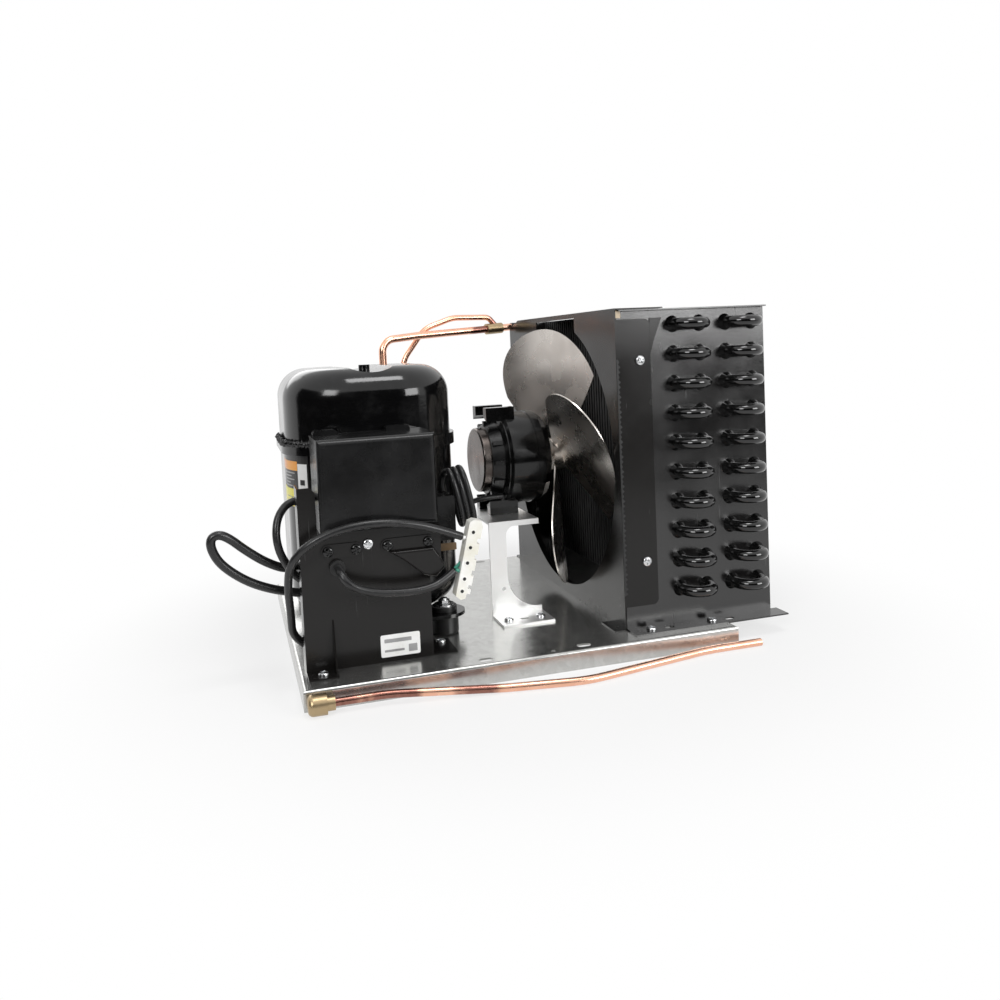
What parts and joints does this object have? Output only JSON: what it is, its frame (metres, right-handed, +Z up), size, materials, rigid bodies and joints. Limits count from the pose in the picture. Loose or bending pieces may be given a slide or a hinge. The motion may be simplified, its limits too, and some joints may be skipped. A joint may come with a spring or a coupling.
{
  "type": "refrigeration condensing unit",
  "caption": "Air-cooled refrigeration condensing unit: hermetic compressor, axial fan and finned condenser coil on a galvanised base pan.",
  "frame": {"origin": "centre of the underside of the unit, free cords left out, on the surface that the pan stands on", "axes": "+X from the compressor towards the condenser, +Y from the electrical side towards the back, +Z up"},
  "size_m": [0.4864, 0.3603, 0.3001],
  "materials": {
    "galvanised": "galvanised sheet with spangle",
    "black_paint": "gloss black paint",
    "shroud_paint": "satin black paint",
    "fin_aluminium": "aluminium fins, painted dark",
    "blade_aluminium": "mill-finish aluminium",
    "zinc": "bright zinc plate",
    "steel": "bare steel",
    "black_plastic": "black moulded plastic",
    "motor_black": "semi-gloss black enamel",
    "rubber": "black rubber",
    "copper": "bright copper tube",
    "brass": "brass, heat-tinted",
    "cord_black": "black flexible cord",
    "nylon": "natural nylon",
    "wire": "insulated wire",
    "bronze": "sintered bronze"
  },
  "bodies": {
    "unit": {"base_pan": "galvanised", "condenser_front_plate": "black_paint", "condenser_rear_plate": "black_paint", "condenser_fin_pack": "fin_aluminium", "front_return_bends": "black_paint", "rear_return_bends": "black_paint", "condenser_foot_screws": "zinc", "fan_shroud": "shroud_paint", "shroud_screws": "zinc", "motor_end_cap": "steel", "motor_rear_ring": "black_plastic", "motor_rear_housing": "motor_black", "motor_stator": "motor_black", "motor_front_housing": "motor_black", "motor_bearings": "bronze", "motor_bracket": "galvanised", "bracket_screws": "zinc", "compressor_lower_shell": "black_paint", "compressor_upper_shell": "black_paint", "dome_stud": "black_paint", "front_foot_plate": "black_paint", "rear_foot_plate": "black_paint", "foot_grommets": "rubber", "grommet_sleeves": "steel", "foot_washers": "zinc", "foot_bolts": "zinc", "foot_nuts": "zinc", "terminal_cover": "black_plastic", "terminal_carrier": "black_plastic", "compressor_shield": "shroud_paint", "left_cord_clamp": "shroud_paint", "right_cord_clamp": "shroud_paint", "clamp_screws": "black_paint", "shield_screws": "zinc", "cord_gland": "rubber", "relay_housing": "black_plastic", "discharge_tube": "copper", "condenser_inlet_tube": "copper", "tube_junction": "brass", "return_tube": "copper", "suction_stub": "copper", "front_copper_tube": "copper", "service_valve": "brass", "terminal_block": "nylon", "power_cord": "cord_black", "supply_cord": "cord_black", "loop_cord": "cord_black", "side_cord": "cord_black", "fan_lead": "cord_black", "fan_lead_hank": "cord_black", "power_wires": "wire", "supply_wires": "wire"},
    "fan": {"fan_blades": "blade_aluminium", "fan_hub": "zinc", "motor_shaft": "steel", "motor_rotor": "steel"}
  },
  "joints": [
    {"name": "fan_spin", "type": "hinge", "parent": "unit", "child": "fan", "pos_m": [0.05805, 0.01872, 0.1545], "axis": [1, 0, 0], "continuous": true}
  ]
}
